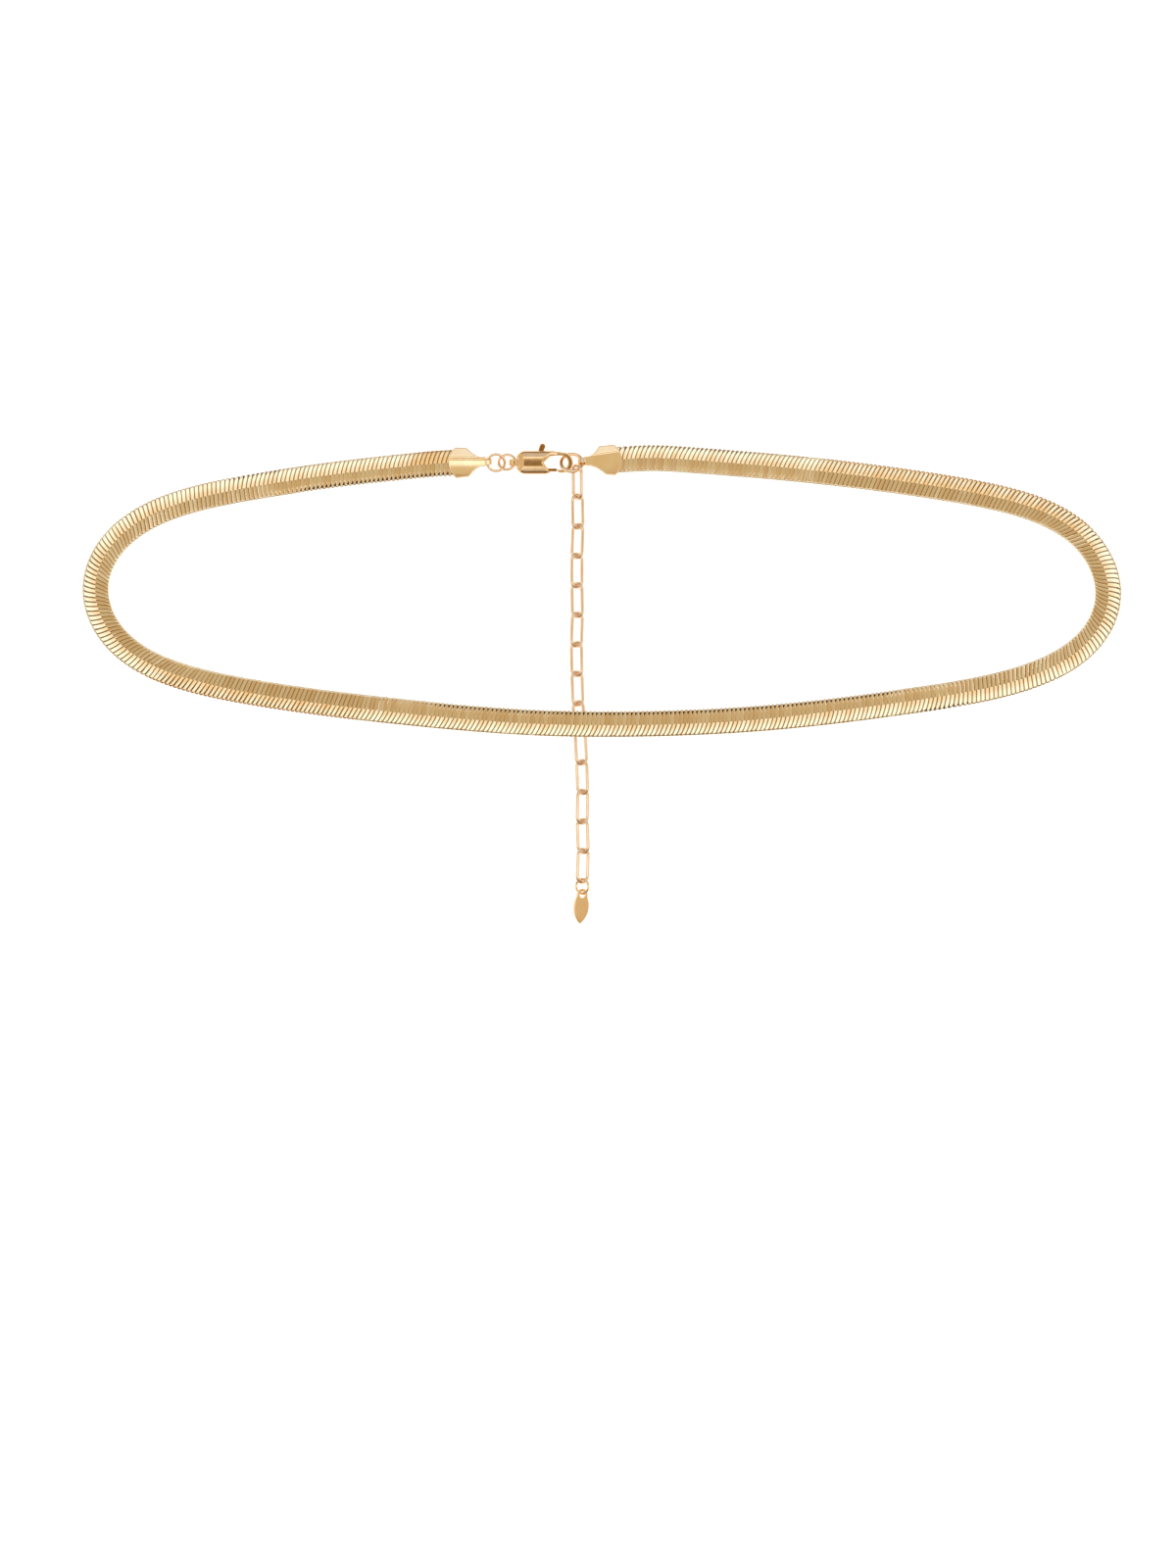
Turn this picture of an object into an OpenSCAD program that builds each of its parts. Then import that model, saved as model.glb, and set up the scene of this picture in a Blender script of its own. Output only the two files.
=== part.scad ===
// Flat herringbone necklace with crimped end caps, a lobster clasp, and an
// extender of long links that ends in a small tag. It lies flat on z = 0,
// with +Z up out of the loop's plane. Millimetres.

/* [Band] */
// Width of the woven band across its two halves
band_w = 5; // [4:0.1:6]
// Thickness of the band at its centre ridge
ridge_t = 1.15; // [0.9:0.05:1.5]
// Thickness of the band at its two edges
edge_t = 0.8; // [0.5:0.05:0.9]
// Distance from one slat to the next along the centre ridge
slat_pitch = 0.83; // [0.8:0.01:2]
// Height that each slat's front edge stands above its back edge
slat_step = 0.12; // [0.04:0.01:0.2]
// Distance that a slat's outer tip trails behind its middle
slat_lag = 0.9; // [0:0.1:1.5]

/* [End caps] */
// Length of a cap from its eye to the middle of its mouth
cap_len = 7.5; // [6:0.1:9]
// Sheet beside, under and over the band's end
cap_wall = 0.35; // [0.25:0.05:0.5]
// Depth that the band's end goes into the mouth
seat_depth = 3.1; // [2:0.1:4]
// Distance that the mouth bulges out in its middle
mouth_bulge = 1.4; // [0.4:0.1:2]
// Length of a cap's straight sides
cap_side = 2.3; // [1:0.1:3]
// Width that each side loses from the mouth to the shoulder
side_taper = 0.2; // [0:0.05:0.25]
// Width of the neck between a cap and its eye
neck_w = 1.8; // [1:0.1:2]
// Thickness of the neck
neck_t = 0.45; // [0.3:0.05:0.6]
// Angle between the left cap's centre line and the crease in its top
left_crease = 2; // [0:0.5:12]
// Angle between the right cap's centre line and the crease in its top
right_crease = 5.5; // [0:0.5:12]
// Distance that the left cap's lower corner stands nearer its mouth than the upper one
left_skew = -0.2; // [-1:0.1:1.2]
// Distance that the right cap's lower corner stands nearer its mouth than the upper one
right_skew = 1.1; // [-1:0.1:1.2]
// Width of the curled eye at the end of the neck
eye_w = 1; // [0.8:0.1:1.3]
// Wall of the curled eye
eye_wall = 0.2; // [0.15:0.05:0.3]

/* [Jump rings] */
// Outer diameter of the ring on the left cap
cap_ring_d = 3.86; // [3.6:0.02:4.4]
// Outer diameter of the ring on the clasp
clasp_ring_d = 3.66; // [3.5:0.02:4.2]
// Wire diameter of those two rings
ring_wire = 0.54; // [0.4:0.02:0.66]
// Tilt of those two rings, one to each side
ring_tilt = 23; // [20:1:28]
// Outer diameter of the ring that joins the clasp, the right cap and the extender
join_ring_d = 4.75; // [4.3:0.05:5]
// Wire diameter of the joining ring
join_wire = 0.7; // [0.5:0.02:0.74]
// Tilt of the joining ring, over the hook's nose and under its arm
join_tilt = 33; // [31:1:36]

/* [Clasp] */
// Length of the clasp from its eye to the hook's end
clasp_len = 12.1; // [11:0.1:14]
// Width of the clasp's body
clasp_w = 4.4; // [4:0.1:5]
// Thickness of the clasp's body
clasp_t = 2.7; // [2.5:0.05:3]
// Thickness of the hook's arm and nose, measured across the clasp's plane
hook_t = 0.66; // [0.5:0.02:0.8]
// Bevel along the edges of the hook's arm and nose
hook_bevel = 0.14; // [0.05:0.01:0.18]
// Radius round the outside of the hook's end
hook_r = 1.93; // [1.7:0.05:2.1]
// Radius of the round end of the window
window_r = 1.33; // [1.1:0.01:1.4]
// Length of the window from its notch to its round end
window_len = 4.65; // [4:0.05:5]
// Bar of metal beyond the window's round end
hook_end = 0.93; // [0.8:0.01:1.3]
// Outer radius of the clasp's eye
clasp_eye_r = 0.94; // [0.9:0.02:1.1]
// Radius of the hole through the clasp's eye
clasp_eye_hole = 0.7; // [0.6:0.01:0.74]
// Width of the clasp's eye
clasp_eye_w = 1.2; // [0.9:0.1:1.4]

/* [Clasp lever] */
// Thickness of the lever
lever_t = 0.76; // [0.5:0.02:0.9]
// Radius of the pin that the lever turns on
pin_r = 0.33; // [0.25:0.01:0.4]
// Clearance of the lever on its pin
pin_clear = 0.03; // [0.02:0.01:0.06]
// Radius of the lever's hub
hub_r = 0.8; // [0.7:0.02:1]
// Width of the lever's stem and thumb tab
tab_w = 0.95; // [0.7:0.05:1.1]
// Length of the thumb tab beyond the clasp's side
tab_len = 1.4; // [0.8:0.05:1.6]
// Angle that the thumb tab leans forward from the stem
tab_lean = 20; // [0:1:25]
// Width of the gate that closes the hook
gate_w = 0.56; // [0.4:0.02:0.7]
// Angle that the gate opens to
lever_swing = 22; // [15:1:24]

/* [Extender] */
// Number of links in the extender
link_count = 14; // [14:1:14]
// Distance from one link's joint to the next
link_pitch = 5.6; // [5:0.1:6]
// Width over a link's two sides
link_w = 3; // [2.8:0.05:3.4]
// Wire diameter of a link
link_wire = 0.65; // [0.45:0.01:0.66]
// Tilt of the links, one to each side in turn
link_tilt = 36; // [34:1:40]

/* [Tag] */
// Width of the tag
tag_w = 3.2; // [2.6:0.1:4]
// Length of the tag
tag_len = 6.6; // [5.6:0.1:8]
// Thickness of the tag
tag_t = 0.5; // [0.3:0.05:0.7]
// Radius of the hole near the tag's top
tag_hole_r = 0.66; // [0.5:0.01:0.8]
// Metal round the tag's hole
tag_rim = 0.45; // [0.35:0.05:0.8]
// Tilt of the tag about its length, as it leans on its ring
tag_tilt = 32; // [28:1:36]
// Outer diameter of the tag's ring
tag_ring_d = 3.3; // [3:0.05:3.8]
// Wire diameter of the tag's ring
tag_ring_wire = 0.5; // [0.4:0.02:0.6]

/* [Hidden] */
$fn = 48;

// Points that the band's centre line follows, from the left cap round to the right
// one. The line is a smooth blend that runs just inside them at the two bends.
BAND_ROUTE = [
    [-38, 41.3], [-52, 39.8], [-65, 37.8], [-77, 35.6], [-86.5, 32.3], [-93.5, 27],
    [-97, 19.5], [-95.3, 11.7], [-89.5, 5.3], [-80, 1.2], [-68, -1.3], [-54, -3.4],
    [-40, -5], [-26, -6.4], [-12, -7.4], [2, -7.6], [16, -7.3], [30, -6.5],
    [44, -5.1], [58, -3.2], [71, -1.3], [82, 1.5], [90.6, 5.8], [95.8, 12.3],
    [96.6, 20], [92.5, 27.6], [85.1, 32.7], [75, 35.7], [62, 37.9], [48, 39.8],
    [34, 41.3], [20, 42.4], [10, 43.1]
];
// Sideways place of each joint of the extender, from the first link's top down
EXTENDER_X = [-4.9, -4.7, -4.6, -4.8, -4.8, -4.7, -4.9, -4.8, -4.6, -4.2, -3.9, -3.7, -3.8,
              -3.6, -3.8];
// Centre of the joining ring, which the rest is placed from
JOIN_X = -5.75;
JOIN_Y = 42.05;

// Gaps: beside a part that sits in another, and between a ring and what it pulls on
seat_gap = 0.06;
link_gap = 0.08;
ring_slack = 0.6;
floor_gap = 0.02;
// How much of each slat is its face; the rest is the slope down to the next
face_share = 0.8;
// Points worked out on each stretch of the route
route_steps = 16;
// Length over which the slats at a cap turn square to the band
square_len = 5;
// Length over which the band rises from the floor into a cap
rise_len = 25;
// Half the length of the hump where the band passes over the extender
hump_half = 32;
// Clearance of the band over the extender
hump_gap = 0.15;
// The front run of the band is where the route is lower than this
front_run_y = 12;

// Radii of the rings' centre lines
cap_ring_r = (cap_ring_d - ring_wire) / 2;
clasp_ring_r = (clasp_ring_d - ring_wire) / 2;
join_r = (join_ring_d - join_wire) / 2;
tag_ring_r = (tag_ring_d - tag_ring_wire) / 2;
// Heights at which the tilted rings and links rest on the floor
cap_ring_z = cap_ring_r * sin(ring_tilt) + ring_wire / 2 + floor_gap;
join_z = join_r * sin(join_tilt) + join_wire / 2;
link_z = ((link_w - link_wire) * sin(link_tilt) + link_wire) / 2;
clasp_z = clasp_t / 2;
// The ring on the clasp is raised at the clasp's eye, and is pulled part of the way
// that its play in the eye allows
clasp_ring_sag = 0.05;
clasp_ring_z = (cap_ring_z + clasp_z) / 2 - clasp_ring_sag;
clasp_ring_lift = 8;
clasp_ring_pull = 0.42;
clasp_ring_shift = 0.1;

// Places along the clasp, from the hook's end to the left cap's eye
hook_reach = 0.2;
clasp_shift = 0.05;
hook_x = JOIN_X + hook_reach;
clasp_y = JOIN_Y + clasp_shift;
eye_x = hook_x - clasp_len + clasp_eye_r;
clasp_ring_x = eye_x + (clasp_eye_hole - ring_wire / 2) * clasp_ring_pull - clasp_ring_r;
cap_ring_x = clasp_ring_x - cap_ring_r - clasp_ring_r + ring_wire + ring_slack;

// End caps. Each is turned about its eye, in line with its end of the band, and its eye
// follows a share of the tilt of the ring through it.
cap_w = band_w + 2 * (seat_gap + cap_wall);
cap_t = ridge_t + 2 * (seat_gap + cap_wall);
cap_side_end = cap_len - mouth_bulge;
cap_side_start = cap_side_end - cap_side;
seat_from_eye = cap_len - seat_depth;
left_turn = 2;
right_turn = 3;
left_shift = [0.14, 0.2];
right_shift = [-0.03, 0.25];
left_eye = [cap_ring_x - cap_ring_r, clasp_y] + left_shift;
right_eye = [JOIN_X + join_r, JOIN_Y] + right_shift;
left_lift = 0;
right_sag = 0.2;
right_lift = join_z - cap_ring_z - right_sag;
left_out = [-cos(left_turn), -sin(left_turn)];
right_out = [cos(right_turn), sin(right_turn)];

// The band's whole route, with its ends square to the caps
end_run = 5;
seat_left = left_eye + (seat_from_eye + seat_gap) * left_out;
seat_right = right_eye + (seat_from_eye + seat_gap) * right_out;
route_core = concat(
    [seat_left, seat_left + end_run * left_out], BAND_ROUTE,
    [seat_right + end_run * right_out, seat_right]
);
last = len(route_core) - 1;
route = concat(
    [2 * route_core[0] - route_core[1]], route_core,
    [2 * route_core[last] - route_core[last - 1]]
);

// A uniform cubic blend of four neighbouring points, at share t between the middle two
function blend(i, t) =
    ((1 - t) ^ 3 * route[i] + (3 * t ^ 3 - 6 * t ^ 2 + 4) * route[i + 1]
     + (3 * t + 3 * t ^ 2 - 3 * t ^ 3 + 1) * route[i + 2] + t ^ 3 * route[i + 3]) / 6;
function blend_slope(i, t) =
    (-(1 - t) ^ 2 * route[i] + (3 * t ^ 2 - 4 * t) * route[i + 1]
     + (1 + 2 * t - 3 * t ^ 2) * route[i + 2] + t ^ 2 * route[i + 3]) / 2;
function whole(u) = min(floor(u), last - 1);
function route_at(u) = blend(whole(u), u - whole(u));

// Length travelled at each step of the route, and where a given length lies on it
steps = [for (j = [0:last * route_steps]) route_at(j / route_steps)];
travelled = [
    for (j = 0, s = 0; j < len(steps); j = j + 1, s = j < len(steps) ? s + norm(steps[j] - steps[j - 1]) : s)
        [s, j / route_steps]
];
band_len = travelled[len(travelled) - 1][0];
slat_count = round(band_len / slat_pitch);
pitch = band_len / slat_count;

// Height of the band's underside: on the floor, over the extender, and up into the caps
function ease(share) = (1 - cos(180 * max(0, min(1, share)))) / 2;
crossing_x = EXTENDER_X[9];
hump_h = 2 * link_z + hump_gap;
left_seat_z = left_lift + cap_wall + seat_gap;
right_seat_z = right_lift + cap_wall + seat_gap;
function hump(p) = p.y < front_run_y ? hump_h * ease(1 - abs(p.x - crossing_x) / hump_half) : 0;
function underside(p, s) =
    hump(p) + left_seat_z * ease(1 - (s - seat_depth) / rise_len)
    + right_seat_z * ease(1 - (band_len - seat_depth - s) / rise_len);

// A point of the band: length s along it, distance w to its inner side, height h on it
function band_point(s, w, h) =
    let (
        at = max(0, min(band_len, s)),
        u = lookup(at, travelled),
        heading = blend_slope(whole(u), u - whole(u)),
        inward = [-heading.y, heading.x] / norm(heading),
        p = route_at(u) + inward * w
    )
    [p.x, p.y, underside(p, at) + h];

// One cross-section: inner edge, ridge and outer edge, whose tip trails behind
function band_ring(s, drop) =
    let (lag = slat_lag * min(1, s / square_len, (band_len - s) / square_len))
    [
        band_point(s, band_w / 2, 0),
        band_point(s, band_w / 2, edge_t - drop),
        band_point(s, 0, ridge_t - drop),
        band_point(s - lag, -band_w / 2, edge_t - drop),
        band_point(s - lag, -band_w / 2, 0)
    ];

module herringbone_band() {
    rings = concat(
        [for (i = [0:slat_count - 1], back = [0, 1])
            band_ring((i + back * face_share) * pitch, back * slat_step)],
        [band_ring(band_len, 0)]
    );
    sides = 5;
    points = [for (r = rings, p = r) p];
    walls = [
        for (j = [0:len(rings) - 2], k = [0:sides - 1])
            let (a = j * sides, b = a + sides, n = (k + 1) % sides)
            each [[a + k, b + k, b + n], [a + k, b + n, a + n]]
    ];
    end = len(points) - sides;
    ends = [for (k = [1:sides - 2]) each [[0, k, k + 1], [end, end + k + 1, end + k]]];
    color("goldenrod") polyhedron(points = points, faces = concat(walls, ends));
}

// A torus of wire lying flat at the origin
module wire_ring(r, wire) {
    rotate_extrude() translate([r, 0]) circle(d = wire);
}

// A cap in its own frame: the eye's middle at x = 0, and the mouth towards +x
shoulder_start = 1.2;
shoulder_bend = 1.7;
shoulder_half = cap_w / 2 - side_taper;
function shoulder(side, skew) = [
    for (t = [0:0.125:1])
        [shoulder_start + (cap_side_start - side * skew / 2 - shoulder_start) * t,
         side * (neck_w / 2 + (shoulder_half - neck_w / 2) * t ^ shoulder_bend)]
];
mouth_r = ((cap_w / 2) ^ 2 + mouth_bulge ^ 2) / (2 * mouth_bulge);
mouth_half = asin(cap_w / 2 / mouth_r);
mouth = [
    for (t = [1:-0.125:-1])
        [cap_len - mouth_r + mouth_r * cos(mouth_half * t), mouth_r * sin(mouth_half * t)]
];
function reversed(v) = [for (i = [len(v) - 1:-1:0]) v[i]];
neck_start = 0.45;
function cap_outline(skew) = concat(
    [[neck_start, neck_w / 2]], shoulder(1, skew), mouth, reversed(shoulder(-1, skew)),
    [[neck_start, -neck_w / 2]]
);

module along_x(from, length) {
    translate([from, 0, 0]) rotate([90, 0, 90]) linear_extrude(length) children();
}

// The creased top: two flat facets that fall away from the crease to each side
upper_fall = 0.24;
lower_fall = 0.1;
module creased_top(crease, top) {
    translate([0, neck_w / 2, 0]) rotate(crease) along_x(-cap_w, cap_len + 2 * cap_w)
        polygon([
            [-cap_w, 0], [cap_w, 0], [cap_w, top - upper_fall * cap_w], [0, top],
            [-cap_w, top - lower_fall * cap_w]
        ]);
}

module eye_tube(eye_z, eye_tilt, r, w) {
    translate([0, 0, eye_z]) rotate([90 + eye_tilt, 0, 0])
        cylinder(r = r, h = w, center = true);
}

// The shell is solid metal from its floor up to the neck's end, and open at its mouth
shell_start = 1.7;
module end_cap(lift, crease, skew, eye_z, eye_tilt, hole_r) {
    eye_r = hole_r + eye_wall;
    neck_under = eye_z + eye_r - neck_t;
    pocket_half = band_w / 2 + seat_gap;
    pocket_z = lift + cap_wall;
    difference() {
        union() {
            difference() {
                intersection() {
                    translate([0, 0, lift]) linear_extrude(cap_t) polygon(cap_outline(skew));
                    creased_top(crease, lift + cap_t);
                }
                translate([0, -cap_w, lift - 1])
                    cube([shell_start, 2 * cap_w, neck_under - lift + 1]);
                along_x(seat_from_eye, cap_len) polygon([
                    [-pocket_half, pocket_z], [pocket_half, pocket_z],
                    [pocket_half, pocket_z + edge_t + 2 * seat_gap],
                    [0, pocket_z + ridge_t + 2 * seat_gap],
                    [-pocket_half, pocket_z + edge_t + 2 * seat_gap]
                ]);
            }
            eye_tube(eye_z, eye_tilt, eye_r, eye_w);
        }
        eye_tube(eye_z, eye_tilt, hole_r, 2 * cap_w);
    }
}

left_play = 0.31;
right_play = 0.35;
left_eye_hole = ring_wire / 2 + left_play;
right_eye_hole = join_wire / 2 + right_play;
left_eye_rise = 0.06;
right_eye_sag = 0.08;
left_eye_z = cap_ring_z + left_eye_rise;
right_eye_z = join_z - right_eye_sag;
eye_follow = 0.7;
left_eye_tilt = eye_follow * ring_tilt;
right_eye_tilt = -eye_follow * join_tilt;

module end_cap_left() {
    color("gold") translate(left_eye) rotate(left_turn) mirror([1, 0, 0])
        end_cap(left_lift, left_crease, left_skew, left_eye_z, left_eye_tilt, left_eye_hole);
}

module end_cap_right() {
    color("gold") translate(right_eye) rotate(right_turn)
        end_cap(right_lift, right_crease, right_skew, right_eye_z, right_eye_tilt, right_eye_hole);
}

module cap_ring() {
    color("khaki") translate([cap_ring_x, clasp_y, cap_ring_z]) rotate([ring_tilt, 0, 0])
        wire_ring(cap_ring_r, ring_wire);
}

module clasp_ring() {
    color("khaki") translate([clasp_ring_x, clasp_y + clasp_ring_shift, clasp_ring_z])
        rotate([-ring_tilt, -clasp_ring_lift, 0]) wire_ring(clasp_ring_r, ring_wire);
}

module join_ring() {
    color("khaki") translate([JOIN_X, JOIN_Y, join_z]) rotate([-join_tilt, 0, 0])
        wire_ring(join_r, join_wire);
}

// The clasp in its own frame: its hook's end at x = 0, its eye towards -x, and its
// plane at z = 0, with the thumb tab on the +y side
hook_centre = -hook_r;
window_centre = -hook_end - window_r;
notch_x = -hook_end - window_len;
clasp_eye_x = clasp_eye_r - clasp_len;
body_half = clasp_w / 2;
slot_gap = 0.04;
end_gap = 0.12;

// The body starts narrow at its eye and is full width one corner further on
eye_cover = 0.4;
body_start = clasp_eye_x + eye_cover;
corner_len = 1.7;
corner_half = 0.62;
shoulder_x = body_start + corner_len;
function body_corner(side) = [
    for (t = [0:0.125:1])
        [body_start + corner_len * (1 - cos(90 * t)),
         side * (corner_half + (body_half - corner_half) * sin(90 * t))]
];

// The window's notch has an upper leg out to the arm, and a lower leg to the cheek's end
lower_leg_run = 1.2;
upper_leg_run = 1.35;
upper_leg_rise = 1.2;
leg_curve_run = 2.4;
arm_run = 1.7;
cheek_end = notch_x + lower_leg_run;
cheek_rim = 0.45;
cheek_cut = [0.8, 0.25];
upper_leg = [notch_x + upper_leg_run, upper_leg_rise];
arm_start = notch_x + arm_run;
leg_end = notch_x + leg_curve_run;
nose_tip = -2.9;
nose_bevel = 0.3;

// The outline seen from above, with the hook drawn in by an inset on each side
module clasp_plan(inset) {
    outer = hook_r - inset;
    inner = window_r + inset;
    difference() {
        union() {
            polygon(concat(
                body_corner(1),
                [[arm_start, body_half], [hook_centre, outer], [hook_centre, 0], [cheek_end, 0],
                 [cheek_end, cheek_cut.y - body_half], [cheek_end - cheek_cut.x, -body_half]],
                reversed(body_corner(-1))
            ));
            translate([hook_centre, 0]) circle(r = outer);
            polygon([
                [hook_centre, -outer], [hook_centre, -inner], [nose_tip + inset, -inner],
                [nose_tip + inset, nose_bevel - hook_r], [nose_tip + nose_bevel, -outer]
            ]);
        }
        translate([window_centre, 0]) circle(r = inner);
        polygon([
            [notch_x, 0], upper_leg, [leg_end, inner], [window_centre, inner],
            [window_centre, -inner], [nose_tip, -inner], [cheek_end, cheek_rim - body_half]
        ]);
        translate([cheek_end, -clasp_w]) square([nose_tip - cheek_end, clasp_w]);
    }
}

// Side view of the clasp: full at the body, and down to the hook's thickness
eye_end_half = 0.45;
body_start_half = 0.7;
first_slope = 0.5;
second_slope = 0.9;
taper_lead = 0.2;
taper_run = 2.6;
taper_start = notch_x - taper_lead;
taper_end = notch_x + taper_run;
clasp_edge = [
    [clasp_eye_x, eye_end_half], [body_start + first_slope, body_start_half],
    [body_start + first_slope + second_slope, clasp_t / 2], [taper_start, clasp_t / 2],
    [taper_end, hook_t / 2], [0, hook_t / 2]
];
clasp_profile = concat(clasp_edge, [for (p = reversed(clasp_edge)) [p.x, -p.y]]);

// Section of the clasp's body: two round faces that meet at its edges
pillow_edge = 0.6;
pillow_rise = clasp_t / 2 - pillow_edge;
pillow_r = (body_half ^ 2 + pillow_rise ^ 2) / (2 * pillow_rise);

// The lever turns on a pin in the lower half of the body. Closed, its gate lies along
// the window's lower side and ends at the hook's nose.
pivot_back = 0.6;
pivot = [notch_x - pivot_back, -0.82];
pin_half = 1.1;
press_fit = 0.01;
tab_angle = 88;
tab_swell = 0.05;
stem_out = 0.12;
gate_drop = 0.58;
gate_len = nose_tip - end_gap - pivot.x;

// The room that a bar of the lever sweeps as it opens. The bar lies off to the left of
// a line from the pivot, at a given angle when closed.
swing_spare = 2;
module swept_bar(angle, off, w, length) {
    function along(a) = [cos(a), sin(a)];
    function across(a) = [-sin(a), cos(a)];
    open = angle + lever_swing + swing_spare;
    half = w / 2 + slot_gap;
    right = pivot + (off - half) * across(angle);
    left = pivot + (off + half) * across(open);
    polygon([right, right + length * along(angle), left + length * along(open), left]);
}

module lever_slot() {
    translate(pivot) circle(r = hub_r + slot_gap);
    swept_bar(tab_angle, 0, tab_w, clasp_w);
    swept_bar(0, -gate_drop, gate_w, cheek_end - pivot.x + end_gap);
}

module clasp_frame() {
    translate([hook_x, clasp_y, clasp_z]) children();
}

module clasp_eye(r, w) {
    translate([clasp_eye_x, 0, 0]) rotate([90, 0, 0]) cylinder(r = r, h = w, center = true);
}

module clasp_body() {
    color("darkgoldenrod") clasp_frame() difference() {
        union() {
            difference() {
                intersection() {
                    union() {
                        linear_extrude(hook_t - 2 * hook_bevel, center = true) clasp_plan(0);
                        linear_extrude(2 * clasp_t, center = true) clasp_plan(hook_bevel);
                    }
                    rotate([90, 0, 0]) linear_extrude(2 * clasp_w, center = true)
                        polygon(clasp_profile);
                    along_x(-clasp_len, clasp_len + 1) intersection() {
                        translate([0, clasp_t / 2 - pillow_r]) circle(r = pillow_r);
                        translate([0, pillow_r - clasp_t / 2]) circle(r = pillow_r);
                    }
                }
                linear_extrude(lever_t + 2 * slot_gap, center = true) lever_slot();
                translate([pivot.x, pivot.y, 0])
                    cylinder(r = pin_r + press_fit, h = 2 * (pin_half + press_fit), center = true);
            }
            clasp_eye(clasp_eye_r, clasp_eye_w);
        }
        clasp_eye(clasp_eye_hole, clasp_w);
    }
}

module clasp_pin() {
    color("peru") clasp_frame() translate([pivot.x, pivot.y, 0])
        cylinder(r = pin_r, h = 2 * pin_half, center = true);
}

// The lever is one flat piece: a hub on the pin, a stem through the slot that ends in a
// round thumb tab leaning forward outside the clasp's side, and the gate
module clasp_lever() {
    tab_r = tab_w / 2 + tab_swell;
    stem_len = body_half + stem_out - pivot.y;
    tab_run = (tab_len - stem_out - tab_r) / cos(tab_lean);
    color("saddlebrown") clasp_frame() difference() {
        linear_extrude(lever_t, center = true) translate(pivot) {
            circle(r = hub_r);
            rotate(tab_angle - 90) {
                translate([-tab_w / 2, 0]) square([tab_w, stem_len]);
                translate([0, stem_len]) rotate(-tab_lean) hull() {
                    circle(d = tab_w);
                    translate([0, tab_run]) circle(r = tab_r);
                }
            }
            translate([slot_gap, -gate_drop - gate_w / 2])
                square([gate_len - slot_gap, gate_w]);
        }
        translate([pivot.x, pivot.y, 0])
            cylinder(r = pin_r + pin_clear, h = 2 * lever_t, center = true);
    }
}

// A long link in its own plane, with its length along y
link_len = link_pitch + link_gap + 2 * link_wire;
module wire_link() {
    r = (link_w - link_wire) / 2;
    straight = link_len - link_wire - 2 * r;
    for (side = [1, -1]) {
        translate([side * r, 0, 0]) rotate([90, 0, 0])
            cylinder(d = link_wire, h = straight, center = true);
        translate([0, side * straight / 2, 0]) rotate(side > 0 ? 0 : 180)
            rotate_extrude(angle = 180) translate([r, 0]) circle(d = link_wire);
    }
}

// The first link hangs on the lower right of the joining ring, and is raised and
// tilted by it, down to its foot on the second one's head. The others rest on the
// floor and lean to each side in turn.
hang_angle = -58;
first_tilt = -50;
hang_shift = [-0.06, 0.48];
hang = [
    JOIN_X + join_r * cos(hang_angle) + hang_shift.x,
    JOIN_Y + join_r * sin(hang_angle) * cos(join_tilt) + hang_shift.y,
    join_z - join_r * sin(hang_angle) * sin(join_tilt)
];
first_rise = 0.17;
second_rise = 0.06;
first_drop = sqrt(
    link_pitch ^ 2 - (hang.z - link_z - first_rise) ^ 2 - (EXTENDER_X[1] - hang.x) ^ 2
);
function extender_joint(i) =
    i == 0 ? hang : [EXTENDER_X[i], hang.y - first_drop - link_pitch * (i - 1), link_z];

module extender_link(i) {
    top = extender_joint(i - 1) + [0, 0, i == 2 ? second_rise : 0];
    low = extender_joint(i) + [0, 0, i == 1 ? first_rise : 0];
    up = (top - low) / norm(top - low);
    tilt = i == 1 ? first_tilt : link_tilt * (i % 2 == 0 ? 1 : -1);
    color("burlywood") translate((top + low) / 2) rotate([0, 0, atan2(-up.x, up.y)])
        rotate([asin(up.z), 0, 0]) rotate([0, tilt, 0]) wire_link();
}

// The tag and its ring hang from the last link
foot = extender_joint(link_count);
tag_ring_top = foot.y - (link_gap + link_wire) / 2
    + link_wire / 2 + tag_ring_wire / 2 + link_gap;
tag_ring_y = tag_ring_top - tag_ring_r;
tag_ring_z = tag_ring_r * sin(link_tilt) + tag_ring_wire / 2 + floor_gap;
tag_ring_side = link_count % 2 == 0 ? -1 : 1;
tag_slack = 0.22;
tag_hole_y = tag_ring_y - tag_ring_r - tag_hole_r + tag_ring_wire / 2 + tag_slack;
tag_lean = -5;
tag_z = tag_w / 2 * sin(tag_tilt) + tag_t / 2 * cos(tag_tilt) + floor_gap;

module tag_ring() {
    color("khaki") translate([foot.x, tag_ring_y, tag_ring_z])
        rotate([0, tag_ring_side * link_tilt, 0]) wire_ring(tag_ring_r, tag_ring_wire);
}

// A leaf-shaped plate: two arcs that meet in a point at its foot, round at its hole
leaf_tuck = 0.3;
module tag_plate() {
    top = tag_hole_r + tag_rim;
    leaf = tag_len - leaf_tuck;
    arc_r = (leaf ^ 2 + tag_w ^ 2) / (4 * tag_w);
    difference() {
        union() {
            translate([0, top - tag_len + leaf / 2]) intersection() {
                translate([tag_w / 2 - arc_r, 0]) circle(r = arc_r);
                translate([arc_r - tag_w / 2, 0]) circle(r = arc_r);
            }
            circle(r = top);
        }
        circle(r = tag_hole_r);
    }
}

module tag() {
    color("gold") translate([foot.x, tag_hole_y, tag_z]) rotate([0, 0, tag_lean])
        rotate([0, -tag_ring_side * tag_tilt, 0])
        linear_extrude(tag_t, center = true) tag_plate();
}

herringbone_band();
end_cap_left();
end_cap_right();
cap_ring();
clasp_ring();
join_ring();
clasp_body();
clasp_pin();
clasp_lever();
for (i = [1:link_count])
    extender_link(i);
tag_ring();
tag();
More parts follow.
